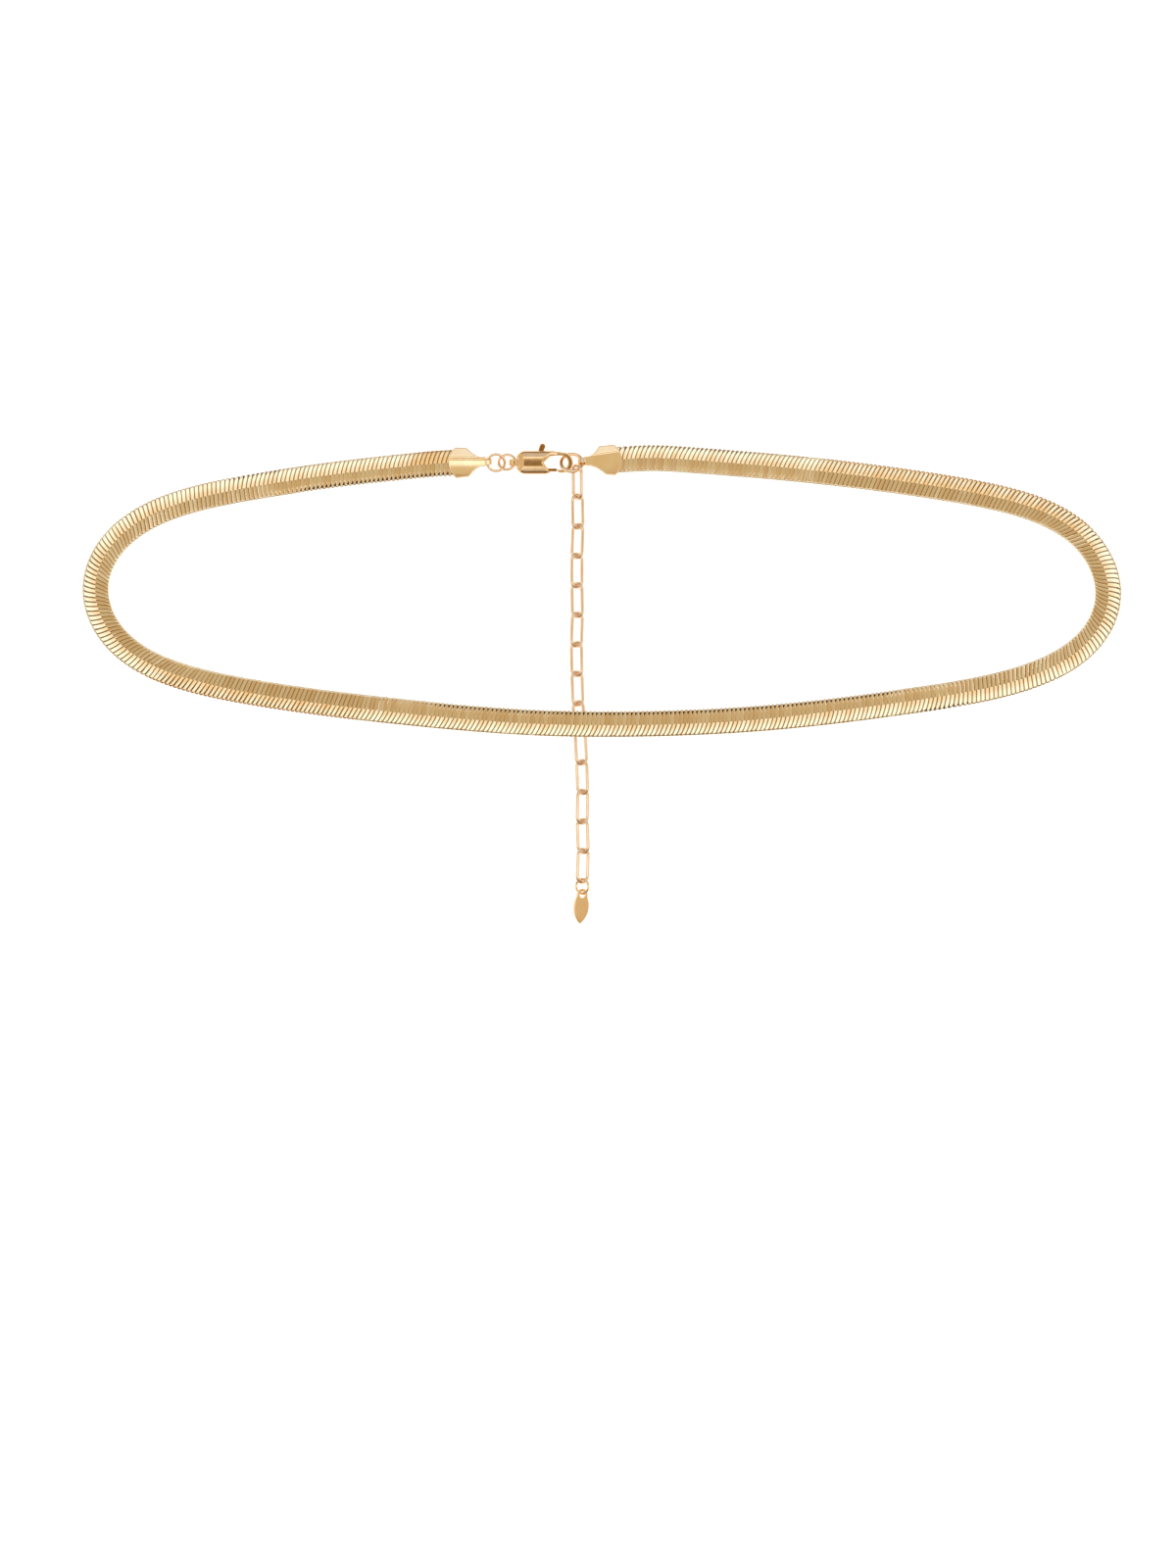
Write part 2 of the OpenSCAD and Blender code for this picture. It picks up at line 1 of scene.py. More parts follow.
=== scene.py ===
# %% [markdown]
# # A gold herringbone necklace, laid out flat
# The necklace lies on a white table, fastened, with its extender hanging straight down
# across the front. The solid model is loaded first and stays fixed. Each piece that
# shows is then made again as a finer surface that stands exactly where its solid is.

import math

import bpy
import numpy as np
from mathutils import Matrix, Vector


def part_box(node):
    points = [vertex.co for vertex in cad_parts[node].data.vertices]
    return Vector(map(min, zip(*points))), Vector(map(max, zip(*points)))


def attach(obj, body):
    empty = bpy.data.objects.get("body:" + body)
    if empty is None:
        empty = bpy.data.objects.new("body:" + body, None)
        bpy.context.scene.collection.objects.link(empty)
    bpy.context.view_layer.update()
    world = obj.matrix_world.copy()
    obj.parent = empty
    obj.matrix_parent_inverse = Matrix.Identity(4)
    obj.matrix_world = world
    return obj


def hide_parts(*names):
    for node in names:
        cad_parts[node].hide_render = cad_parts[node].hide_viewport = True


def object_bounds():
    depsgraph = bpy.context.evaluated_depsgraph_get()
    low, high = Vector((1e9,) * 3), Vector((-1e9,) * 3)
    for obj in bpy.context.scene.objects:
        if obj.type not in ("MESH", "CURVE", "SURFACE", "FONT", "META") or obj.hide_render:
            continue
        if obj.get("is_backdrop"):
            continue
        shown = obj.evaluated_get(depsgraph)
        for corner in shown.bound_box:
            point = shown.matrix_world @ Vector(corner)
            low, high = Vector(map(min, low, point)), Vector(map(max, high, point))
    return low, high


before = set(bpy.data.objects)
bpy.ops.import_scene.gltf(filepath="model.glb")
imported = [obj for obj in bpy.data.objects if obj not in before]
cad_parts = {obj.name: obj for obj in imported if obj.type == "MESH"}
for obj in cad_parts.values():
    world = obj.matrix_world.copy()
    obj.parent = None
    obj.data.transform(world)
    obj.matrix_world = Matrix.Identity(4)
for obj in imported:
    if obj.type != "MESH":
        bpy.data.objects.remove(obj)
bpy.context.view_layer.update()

# %% [markdown]
# ## Small helpers
# Blender works in metres, and a necklace is easier to think about in millimetres, so
# every length below is in millimetres until it goes into a mesh. Colours are written
# as sRGB hex values, as a colour picker shows them, and one function turns them into
# the linear light values that the shader needs.

# %% Units, colours and nodes
MM = 0.001


def linear(hex_colour):
    """sRGB to linear light: below 0.04045 divide by 12.92, else ((v + 0.055) / 1.055) to the power 2.4."""
    v = np.array([int(hex_colour[i : i + 2], 16) for i in (1, 3, 5)]) / 255
    v = np.where(v <= 0.04045, v / 12.92, ((v + 0.055) / 1.055) ** 2.4)
    return (*v.tolist(), 1.0)


def per_mm(size):
    """The Scale of a texture on Object coordinates (metres) whose features are this many millimetres across."""
    return 1 / (size * MM)


def add_node(tree, kind, settings=(), values=(), links=()):
    """Adds one node: its own settings, the values of its sockets, and the outputs its sockets read."""
    node = tree.nodes.new(kind)
    for name, value in dict(settings).items():
        setattr(node, name, value)
    for name, value in dict(values).items():
        node.inputs[name].default_value = value
    for name, source in dict(links).items():
        tree.links.new(source, node.inputs[name])
    return node


def smooth(x):
    """A smooth step from 0 to 1: 3x squared less 2x cubed, held flat outside."""
    x = np.clip(x, 0, 1)
    return x * x * (3 - 2 * x)


# %% Put arrays into a mesh
def make_piece(name, points, faces, sharp=None):
    """A mesh object at the origin from points in millimetres, shaded smooth but for edges past `sharp` degrees."""
    mesh = bpy.data.meshes.new(name)
    mesh.from_pydata((np.asarray(points) * MM).tolist(), [], [list(f) for f in faces])
    mesh.shade_smooth()
    if sharp:
        mesh.set_sharp_from_angle(angle=math.radians(sharp))
    piece = bpy.data.objects.new(name, mesh)
    bpy.context.scene.collection.objects.link(piece)
    return piece


def dress(piece, material, body, slot, *nodes):
    """Gives the piece its finish and its body, and lets it stand for its solids."""
    piece.data.materials.clear()
    piece.data.materials.append(material)
    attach(piece, body)
    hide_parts(*nodes)
    print(piece.name, "has", len(piece.data.polygons), "faces")
    return piece


# %% [markdown]
# ## Camera, table and light
# The camera hangs straight above the table, as it does over a jeweller's light table,
# with a long lens so that little perspective shows. Polished gold has almost no colour
# of its own light: it shows what it reflects. The band is a low roof with two slopes,
# so soft boxes hang all round the loop for its outer slope to reflect, and the middle
# stays dim for its inner slope. The lights hang low, because only then do the two
# sides of the loop look at different parts of the same ring of light.

# %% Camera
camera = bpy.data.objects.new("Camera", bpy.data.cameras.new("Camera"))
bpy.context.scene.collection.objects.link(camera)
bpy.context.scene.camera = camera
camera.location = (-0.0027, -0.01888, 1.117)
camera.data.sensor_fit = "VERTICAL"
camera.data.sensor_width = 36
camera.data.sensor_height = 36
camera.data.lens = 135
camera.data.clip_start = 0.01
seen = camera.location.z * camera.data.sensor_height / camera.data.lens
print("the camera sees", round(seen / MM, 1), "mm of the table from top to bottom")

# %% Table
TABLE_HALF = 3000
table = make_piece("Table", TABLE_HALF * np.array([[-1, -1, 0], [1, -1, 0], [1, 1, 0], [-1, 1, 0]]), [(0, 1, 2, 3)])
white = bpy.data.materials.new("White laminate table")
white.use_nodes = True
shader = white.node_tree.nodes["Principled BSDF"]
shader.inputs["Base Color"].default_value = linear("#A8A8A8")
shader.inputs["Roughness"].default_value = 0.6
shader.inputs["Emission Color"].default_value = linear("#FFFFFF")
shader.inputs["Emission Strength"].default_value = 0.88
table.data.materials.append(white)
table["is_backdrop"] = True


# %% Soft boxes
def soft_box(name, centre, size, brightness=1.0, colour="#D3E2F4"):
    """A flat light facing down. Power = brightness x pi x area, so it looks equally bright at any size."""
    lamp = bpy.data.lights.new(name, "AREA")
    lamp.shape = "RECTANGLE"
    lamp.size, lamp.size_y = size[0] * MM, size[1] * MM
    lamp.energy = brightness * math.pi * lamp.size * lamp.size_y
    lamp.color = linear(colour)[:3]
    box = bpy.data.objects.new(name, lamp)
    box.location = [c * MM for c in centre]
    box.visible_camera = False
    bpy.context.scene.collection.objects.link(box)
    return box


LIGHT_HEIGHT = 150
soft_box("Back light", (0, 93, LIGHT_HEIGHT), (420, 58))
soft_box("Far back light", (0, 194, LIGHT_HEIGHT), (420, 144), 0.75)
soft_box("Front light", (0, -57, LIGHT_HEIGHT), (210, 86))
soft_box("Left light", (-145, 0, LIGHT_HEIGHT), (80, 130))
soft_box("Right light", (145, 0, LIGHT_HEIGHT), (80, 130))

# %% [markdown]
# The room round the boxes is a colour for each direction. Overhead it is warm and dim,
# and colder towards the back. Low down it is dark, but pale at the two sides. Round the
# camera it is darkest, as the camera and its mount hide the ceiling there: that is
# what gives the flat parts of the clasp their brown.

# %% Room
world = bpy.data.worlds.new("Studio")
world.use_nodes = True
bpy.context.scene.world = world
tree = world.node_tree
tree.nodes.clear()
direction = add_node(tree, "ShaderNodeTexCoord")
split = add_node(tree, "ShaderNodeSeparateXYZ", links={0: direction.outputs["Generated"]})
height = add_node(tree, "ShaderNodeMapRange", values={"From Min": 0.68, "From Max": 0.9},
                  links={"Value": split.outputs["Z"]})
sideways = add_node(tree, "ShaderNodeMath", settings={"operation": "ABSOLUTE"}, links={0: split.outputs["X"]})
sides = add_node(tree, "ShaderNodeMapRange", values={"From Min": 0.6, "From Max": 0.88},
                 links={"Value": sideways.outputs[0]})
low_down = add_node(tree, "ShaderNodeMix", settings={"data_type": "RGBA"},
                    values={6: (0.2, 0.12, 0.06, 1), 7: (0.78, 0.66, 0.52, 1)},
                    links={"Factor": sides.outputs[0]})
rear = add_node(tree, "ShaderNodeMapRange", values={"From Min": 0.43, "From Max": 0.5},
                links={"Value": split.outputs["Y"]})
ceiling = add_node(tree, "ShaderNodeMix", settings={"data_type": "RGBA"},
                   values={6: (0.68, 0.56, 0.37, 1), 7: (0.4, 0.33, 0.28, 1)}, links={"Factor": rear.outputs[0]})
room = add_node(tree, "ShaderNodeMix", settings={"data_type": "RGBA"},
                links={"Factor": height.outputs[0], 6: low_down.outputs[2], 7: ceiling.outputs[2]})
overhead = add_node(tree, "ShaderNodeVectorMath", settings={"operation": "DISTANCE"}, values={1: (0, 0.054, 1)},
                    links={0: direction.outputs["Generated"]})
mount = add_node(tree, "ShaderNodeMapRange", settings={"interpolation_type": "SMOOTHSTEP"},
                 values={"From Min": 0.035, "From Max": 0.1}, links={"Value": overhead.outputs["Value"]})
sky = add_node(tree, "ShaderNodeMix", settings={"data_type": "RGBA"}, values={6: (0.22, 0.13, 0.05, 1)},
               links={"Factor": mount.outputs[0], 7: room.outputs[2]})
back = add_node(tree, "ShaderNodeBackground", links={"Color": sky.outputs[2]})
add_node(tree, "ShaderNodeOutputWorld", links={"Surface": back.outputs[0]})
bpy.context.scene.view_settings.view_transform = "Standard"
print("lights hang", LIGHT_HEIGHT, "mm above the table")


# %% [markdown]
# ## Gold plate
# All the pieces are brass with a thin plating of yellow gold. Electroplate on a
# tumbled blank is bright but not a perfect mirror: fine tumbling marks spread each
# reflection a little, and the tone drifts from piece to piece. So the metal is a full
# metal with a low roughness that varies, a faint bump of marks, and a slow change of
# tone. Real marks are a few hundredths of a millimetre wide, too fine to show, so they
# are drawn 0.1 to 0.2 mm wide. Between the slats the colour goes to a deep brown: this
# is painted shade. The slats' tone also carries a painted highlight and painted shade.

# %% One function for the gold finishes
def gold_plate(name, first, second, roughness, mark, mark_height, woven=False):
    """Plated metal: colour = first + tone x (second - first), where tone is a slow noise, or on the weave the slat's
    own tone, which carries a painted highlight and shade, with the grooves then painted deep brown as shade; roughness
    = its value x 0.8 to 1.2 by a finer noise, which also gives the bump."""
    material = bpy.data.materials.new(name)
    material.use_nodes = True
    tree = material.node_tree
    tree.nodes.clear()
    place = add_node(tree, "ShaderNodeTexCoord").outputs["Object"]
    drift = add_node(tree, "ShaderNodeTexNoise", values={"Scale": per_mm(2.2), "Detail": 2}, links={"Vector": place})
    marks = add_node(tree, "ShaderNodeTexNoise", values={"Scale": per_mm(mark), "Detail": 3, "Roughness": 0.6},
                     links={"Vector": place})
    tone = add_node(tree, "ShaderNodeMapRange", values={"From Min": 0.3, "From Max": 0.7},
                    links={"Value": drift.outputs[0]}).outputs[0]
    if woven:
        tone = add_node(tree, "ShaderNodeAttribute", settings={"attribute_name": "tint_and_painted_light"}).outputs["Fac"]
    colour = add_node(tree, "ShaderNodeMix", settings={"data_type": "RGBA"},
                      values={6: linear(first), 7: linear(second)}, links={"Factor": tone}).outputs[2]
    if woven:
        # Painted shade: the grooves between the slats and their open gaps go to deep brown
        painted_groove_shade = add_node(tree, "ShaderNodeAttribute", settings={"attribute_name": "painted_groove_shade"}).outputs["Fac"]
        groove_shade_factor = add_node(tree, "ShaderNodeMapRange", settings={"interpolation_type": "SMOOTHSTEP"},
                        values={"From Min": 0.1, "From Max": 0.6}, links={"Value": painted_groove_shade}).outputs[0]
        colour = add_node(tree, "ShaderNodeMix", settings={"data_type": "RGBA"},
                          values={7: linear("#3E2306")}, links={"Factor": groove_shade_factor, 6: colour}).outputs[2]
    rough = add_node(tree, "ShaderNodeMapRange",
                     values={"From Min": 0.3, "From Max": 0.7, "To Min": roughness * 0.8, "To Max": roughness * 1.2},
                     links={"Value": marks.outputs[0]}).outputs[0]
    bump = add_node(tree, "ShaderNodeBump", values={"Strength": 0.5, "Distance": mark_height * MM},
                    links={"Height": marks.outputs[0]})
    metal = add_node(tree, "ShaderNodeBsdfPrincipled", values={"Metallic": 1.0, "Specular Tint": linear("#FFE9C8")},
                     links={"Base Color": colour, "Roughness": rough, "Normal": bump.outputs[0]})
    add_node(tree, "ShaderNodeOutputMaterial", links={"Surface": metal.outputs[0]})
    return material


# Rolled flat links: a soft sheen on each slat, a painted highlight at the tips, painted shade in the brown seams
band_gold = gold_plate("Gold plated brass weave", "#DDB780", "#FFF7DC", 0.2, 0.12, 0.002, woven=True)
# Sheet pressed in a polished die: smooth slopes, each in one tone, with crisp creases
cap_gold = gold_plate("Gold plated pressed brass", "#FFE9C0", "#FFE1B6", 0.16, 0.15, 0.002)
# Drawn wire: one bright line along the middle of the wire and dark sides
ring_gold = gold_plate("Gold plated brass wire", "#FFE3C0", "#F8D4AC", 0.18, 0.12, 0.002)
# Cast and tumbled longest: the nearest to a mirror, so it shows the dark round the camera
clasp_gold = gold_plate("Gold plated cast brass", "#F8D6A6", "#ECC690", 0.12, 0.2, 0.002)
# Stamped spring metal in a deeper orange gold than the clasp's body: painted shade for the darker lever
lever_gold = gold_plate("Gold plated stamped brass", "#CE9C5A", "#BC8644", 0.16, 0.15, 0.002)
# Wire heated when its joints were soldered: softer highlights and a pinker gold
link_gold = gold_plate("Gold plated soldered links", "#F6DFC4", "#EFD2B0", 0.24, 0.12, 0.003)
# Rolled sheet, the least polished: a dull even glow
tag_gold = gold_plate("Gold plated sheet brass", "#F7D5A0", "#F0CB92", 0.28, 0.1, 0.003)
print(len(bpy.data.materials), "materials")

# %% [markdown]
# ## The band
# A herringbone chain is made of flat wire links, hammered and rolled until they form
# two rows of slanting slats that meet on a low ridge. Its line on the table is a
# smooth curve blended from a few listed points, and it rises a little where it passes
# over the extender and where it goes into the caps at its two ends.

# %% The line that the band follows
BAND_W, RIDGE_T, EDGE_T, SLAT_PITCH = 5.0, 1.15, 0.8, 0.83
CAP_LEN, CAP_WALL, SEAT_DEPTH, SEAT_GAP = 7.5, 0.35, 3.1, 0.06
LEFT_EYE, LEFT_TURN = np.array([-21.6894, 42.3]), math.radians(2)
RIGHT_EYE, RIGHT_TURN = np.array([-3.755, 42.3]), math.radians(3)
JOIN_Z = 2.025 * math.sin(math.radians(33)) + 0.35
CAP_RING_Z = 1.66 * math.sin(math.radians(23)) + 0.29
LINK_Z = (2.35 * math.sin(math.radians(36)) + 0.65) / 2
RIGHT_LIFT = JOIN_Z - CAP_RING_Z - 0.2
BAND_ROUTE = np.array([
    [-38, 41.3], [-52, 39.8], [-65, 37.8], [-77, 35.6], [-86.5, 32.3], [-93.5, 27],
    [-97, 19.5], [-95.3, 11.7], [-89.5, 5.3], [-80, 1.2], [-68, -1.3], [-54, -3.4],
    [-40, -5], [-26, -6.4], [-12, -7.4], [2, -7.6], [16, -7.3], [30, -6.5],
    [44, -5.1], [58, -3.2], [71, -1.3], [82, 1.5], [90.6, 5.8], [95.8, 12.3],
    [96.6, 20], [92.5, 27.6], [85.1, 32.7], [75, 35.7], [62, 37.9], [48, 39.8],
    [34, 41.3], [20, 42.4], [10, 43.1],
])
left_out = -np.array([math.cos(LEFT_TURN), math.sin(LEFT_TURN)])
right_out = np.array([math.cos(RIGHT_TURN), math.sin(RIGHT_TURN)])
left_seat = LEFT_EYE + (CAP_LEN - SEAT_DEPTH + SEAT_GAP) * left_out
right_seat = RIGHT_EYE + (CAP_LEN - SEAT_DEPTH + SEAT_GAP) * right_out
core = np.vstack([left_seat, left_seat + 5 * left_out, BAND_ROUTE, right_seat + 5 * right_out, right_seat])
route = np.vstack([2 * core[0] - core[1], core, 2 * core[-1] - core[-2]])
spans = len(core) - 1


def route_at(u):
    """Uniform cubic B-spline: a weighted mean of four neighbouring points, with its slope."""
    i = np.minimum(np.floor(u).astype(int), spans - 1)
    t = (u - i)[..., None]
    a, b, c, d = route[i], route[i + 1], route[i + 2], route[i + 3]
    point = ((1 - t) ** 3 * a + (3 * t**3 - 6 * t**2 + 4) * b + (3 * t + 3 * t**2 - 3 * t**3 + 1) * c + t**3 * d) / 6
    slope = (-((1 - t) ** 2) * a + (3 * t**2 - 4 * t) * b + (1 + 2 * t - 3 * t**2) * c + t**2 * d) / 2
    return point, slope


steps = np.linspace(0, spans, spans * 16 + 1)
stops = route_at(steps)[0]
travelled = np.concatenate([[0], np.cumsum(np.linalg.norm(np.diff(stops, axis=0), axis=1))])
BAND_LEN = travelled[-1]
SLATS = round(BAND_LEN / SLAT_PITCH)
pitch = BAND_LEN / SLATS
print("the band is", round(BAND_LEN, 1), "mm long and has", SLATS, "slats")


# %% Height of the band's underside
def ease(share):
    """Half a cosine wave: 0 at 0, 1 at 1, level at both ends."""
    return (1 - np.cos(np.pi * np.clip(share, 0, 1))) / 2


def band_point(s, w, h):
    """The point a length s along the band, w to its inner side and h above its underside."""
    point, slope = route_at(np.interp(s, travelled, steps))
    inward = np.stack([-slope[..., 1], slope[..., 0]], -1) / np.linalg.norm(slope, axis=-1)[..., None]
    xy = point + inward * w[..., None]
    seat = CAP_WALL + SEAT_GAP
    over = np.where(xy[..., 1] < 12, (2 * LINK_Z + 0.15) * ease(1 - np.abs(xy[..., 0] + 4.2) / 32), 0)
    z = over + seat * ease(1 - (s - SEAT_DEPTH) / 25) + (RIGHT_LIFT + seat) * ease(1 - (BAND_LEN - SEAT_DEPTH - s) / 25)
    return np.concatenate([xy, (z + h)[..., None]], -1)


# %% [markdown]
# One half of the band is a closed tube whose cross-section is carried along that line,
# with five rows of points to each slat: the bottom of a narrow groove, the slat's front
# edge, two rows on its face, and its back edge. The outer slats aren't straight: they
# slant back from the ridge and hook at their tips, and the inner ones stand nearly
# square. The links pull on each other, so the look changes along the band: in some
# stretches the slats are pulled straight and slanting, in some the inner ones bend, and
# in some the gaps between the tips stand open and show dark, from their depth and from
# painted shade. The tips get a painted highlight, paler than the ridge, and the outer
# slats get painted shade where they are pulled and just past the left cap. Each point
# also keeps two numbers for the material: how much painted shade its groove gets, and
# its slat's tone, which holds that painted light and a random spread.

# %% One half of the band
# Each stretch is (start, end, fade) in millimetres along the band from the left cap
PULLED = (102, 136, 7), (306, 350, 8)
BENT = (68, 98, 14), (272, 302, 14)
STRAIGHT = (48, 62, 8), (256, 268, 8)
OUTER_OPEN = (37, 44, 2), (247, 254, 2), (369, 392, 2)
INNER_OPEN = (3, 30, 4), (156, 238, 6)
INNER_QUIET = (3, 36, 8), (146, 250, 8), (360, 392, 8)
# The first of these stretches gets painted shade on its outer slats just past the left cap; the second pushes the ridge
PAINTED_SHADE_BY_CAP, RIDGE_PUSHED = [(3, 9, 3)], [(122, 210, 20)]
TOP_T = np.array([-0.02, 0.0, 0.06, 0.16, 0.3, 0.45, 0.6, 0.74, 0.86, 0.95, 1.0])
LOW_T = np.array([1.0, 0.99, 0.92, 0.4, -0.02])
LOW_H = np.array([0.45, 0.12, 0.0, 0.0, 0.0]) * EDGE_T
# For the five rows of points on a slat: how far each lies below the roof, and its painted light: painted shade at the
# groove and a painted highlight along the back edge
ROW_DROP = np.array([0, 0, 0.008, 0.018, 0.025])[None, :, None]
ROW_PAINTED_LIGHT = np.array([-0.3, -0.1, 0.0, 0.06, 0.14])[None, :, None]
GROOVE_DEPTH, OPEN_DEPTH, RIM_ROUND, RIDGE_PUSH = 0.12, 0.3, 0.1, 0.22
END_CALM, TILT_ACROSS, TILT_ALONG, TINT_SPREAD = 3.5, 0.02, 0.01, 0.16


def within(s, stretches):
    """1 within the stretches, falling smoothly to 0 over each one's fade outside its ends."""
    return sum(smooth((s - start) / fade + 1) * smooth((end - s) / fade + 1) for start, end, fade in stretches)


def outer_slats(near, across):
    """How the outer slats lie: their openings, gap as a share of the pitch, lag in millimetres, groove's painted
    shade, tone and quietness. The tone is painted light: a highlight paler towards the tips, and painted shade
    where the links are pulled and just past the left cap. The lag is minus the hooked curve, or a straight line
    where the links are pulled."""
    pulled, bent, straight = within(near, PULLED), within(near, BENT), within(near, STRAIGHT)
    opened = within(near, OUTER_OPEN) * smooth((across - 0.8) / 0.12)
    gap = 0.12 + 0.05 * pulled * across + 0.16 * opened
    hooked = across**1.3 + 0.35 * smooth((across - 0.84) / 0.16)
    curved = np.maximum(0, 1 - straight - pulled - 0.4 * bent)
    lag = -(hooked * curved + 0.45 * across * straight + across * pulled)
    shade = 0.55 + 0.45 * opened - 0.55 * pulled * (1 - smooth((across - 0.06) / 0.12))
    # The tone is painted light: a highlight paler towards the tips, painted shade where pulled and just past the left
    # cap
    tone = 0.3 + 0.46 * smooth((across - 0.1) / 0.6) - 0.3 * pulled * (0.4 + across) - 0.6 * within(near, PAINTED_SHADE_BY_CAP)
    painted_rim_light = -0.5 * pulled * smooth((across - 0.8) / 0.15)
    return opened, gap, lag, shade, tone + painted_rim_light, 0.0


def inner_slats(near, across):
    """The same for the inner slats: they stand nearly square, lean forwards where the links bend, and lie so close
    in the quiet stretches that their grooves fade away from the ridge."""
    pulled, bent, straight = within(near, PULLED), within(near, BENT), within(near, STRAIGHT)
    near_rim = smooth((across - 0.64) / 0.18)
    opened = within(near, INNER_OPEN) * near_rim
    gap = 0.07 + 0.2 * opened
    lean = across * (0.1 + 0.25 * straight + 0.75 * bent + 0.6 * pulled)
    lag = lean + 0.35 * bent * across**3 + 0.16 * opened * near_rim
    quiet = within(near, INNER_QUIET) * (1 - near_rim)
    # Painted shade in the grooves, deepest in the open gaps; the inner tips get a painted highlight
    shade = 0.5 - 0.5 * quiet * smooth((across - 0.15) / 0.4) + 0.5 * opened
    tone = 0.34 + 0.1 * (0.5 - across)
    painted_rim_light = 0.6 * smooth((across - 0.9) / 0.08)
    return opened, gap, lag, shade, tone + painted_rim_light, quiet


def band_half(side, offset, seed):
    """Points (rows x columns) of one half. t runs 0 at the ridge to 1 at the edge; the slat's place is
    s = (number + share) x pitch + lag(t); its height is the roof's slope less the groove's depth."""
    random = np.random.default_rng(seed)
    t = np.concatenate([TOP_T, LOW_T])[None, None, :]
    columns = t.shape[2]
    across = np.clip(t, 0, 1)
    number = np.arange(SLATS - 1)[:, None, None]
    near = (number + offset + 0.5) * pitch
    opened, gap, lag, shade, tone, quiet = (outer_slats if side < 0 else inner_slats)(near, across)
    row = np.arange(5)[None, :, None]
    groove = (row == 0) * 1.0

    rows_of = [row == 0, row == 1, row == 2, row == 3]
    share = np.select(rows_of, [0 * gap, gap, 0.4 + 0.1 * gap, 0.7 + 0 * gap], 1 - gap)
    s = (number + offset + share) * pitch
    s = s + lag * np.minimum(1, np.minimum(s / END_CALM, (BAND_LEN - s) / END_CALM))

    depth = groove * (GROOVE_DEPTH - GROOVE_DEPTH * quiet + OPEN_DEPTH * opened) + ROW_DROP * (1 - quiet)
    tilt = random.normal(0, TILT_ACROSS, (SLATS - 1, 1, 1)) * (across - 0.5)
    tilt = tilt + random.normal(0, TILT_ALONG, (SLATS - 1, 1, 1)) * (share - 0.5)
    roof = RIDGE_T + (EDGE_T - RIDGE_T) * across + 0.015 * np.sin(np.pi * across)
    roof = roof - RIM_ROUND * smooth((across - 0.95) / 0.05)
    h = np.broadcast_to(roof - depth + tilt - 0.06 * (t < 0), (SLATS - 1, 5, columns)).copy()
    h[..., len(TOP_T) :] = LOW_H

    tip = smooth((across - 0.8) / 0.2)
    pulled_in = groove * (0.24 + 0.12 * opened + 0.14 * within(near, PULLED)) + (row == 1) * 0.04 + (row == 4) * 0.05
    ridge = -RIDGE_PUSH * within(near, RIDGE_PUSHED) * (1 - across)
    w = side * (BAND_W / 2 * t - pulled_in * tip) + ridge

    # Painted streaks: the rows' painted shade and highlight are stronger on the inner slats where they bend or lie
    # straight; the random spread is each slat's own tone
    painted_streaks = 1.6 * (within(near, BENT) + within(near, STRAIGHT)) if side > 0 else 0
    spread = random.uniform(-TINT_SPREAD, TINT_SPREAD, (SLATS - 1, 1, 1))
    tint_and_painted_light = np.clip(tone + ROW_PAINTED_LIGHT * (1 - 0.5 * quiet + painted_streaks) + spread, 0, 1)

    ends_w = side * BAND_W / 2 * t[0]
    ends_h = np.concatenate([roof[0, 0, : len(TOP_T)], LOW_H])[None, :]

    def with_ends(values, first, last):
        """The slats' rows of values between those of the band's two ends."""
        return np.vstack([first, np.broadcast_to(values, h.shape).reshape(-1, columns), last])

    none = 0 * ends_w
    s, w, h_all = with_ends(s, none, none + BAND_LEN), with_ends(w, ends_w, ends_w), with_ends(h, ends_h, ends_h)
    return band_point(s, w, h_all), with_ends(groove * shade, none, none), with_ends(tint_and_painted_light, none, none)


def tube_faces(rows, columns, start=0, flip=False):
    """Quads round a tube of rows x columns points, with one many-sided face at each end."""
    r, c = np.meshgrid(np.arange(rows - 1), np.arange(columns), indexing="ij")
    n = (c + 1) % columns
    here, ahead = r * columns, (r + 1) * columns
    quads = np.stack([here + c, ahead + c, ahead + n, here + n], -1).reshape(-1, 4)
    first, last = list(range(columns)), list(range((rows - 1) * columns, rows * columns))[::-1]
    faces = [*quads.tolist(), first, last]
    if flip:
        faces = [f[::-1] for f in faces]
    return [[i + start for i in f] for f in faces]


outer, outer_groove_shade, outer_tone_and_light = band_half(-1, 0.25, 3)
inner, inner_groove_shade, inner_tone_and_light = band_half(1, 0.75, 5)
rows, columns = outer.shape[:2]
band = make_piece(
    "Herringbone_band",
    np.vstack([outer.reshape(-1, 3), inner.reshape(-1, 3)]),
    tube_faces(rows, columns, flip=True) + tube_faces(rows, columns, rows * columns),
    sharp=50,
)
# Two numbers for the material on each point: the grooves' painted shade, and the slats' tone with its painted light
for name, one, two in (("painted_groove_shade", outer_groove_shade, inner_groove_shade), ("tint_and_painted_light", outer_tone_and_light, inner_tone_and_light)):
    numbers = band.data.attributes.new(name, "FLOAT", "POINT")
    numbers.data.foreach_set("value", np.concatenate([one.ravel(), two.ravel()]).astype(np.float32))
dress(band, band_gold, "necklace", "band_gold", "herringbone_band")


# %% [markdown]
# ## Rings and links
# Jump rings and chain links are round wire bent to a circle or to a long loop. The
# solid model says where each one lies and how it leans: its three main directions and
# its size along them are measured from its own points, and a smooth round wire is
# then carried along the same loop. A jump ring is only bent shut, so it keeps a hair
# line where its ends meet. A link is soldered, with a soft bead at its joint.

# %% Measure how a ring or a link lies
def lie_of(node):
    """Centre, main directions and sizes of a solid in millimetres: its points spread most along the first."""
    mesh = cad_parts[node].data
    points = np.zeros(len(mesh.vertices) * 3)
    mesh.vertices.foreach_get("co", points)
    points = np.unique(points.reshape(-1, 3).round(7), axis=0) / MM
    middle = points.mean(0)
    directions = np.linalg.svd(points - middle, full_matrices=False)[2]
    directions[2] = np.cross(directions[0], directions[1])
    spread = (points - middle) @ directions.T
    return middle + (spread.max(0) + spread.min(0)) / 2 @ directions, directions, spread.max(0) - spread.min(0)


SEAM_W = 0.09


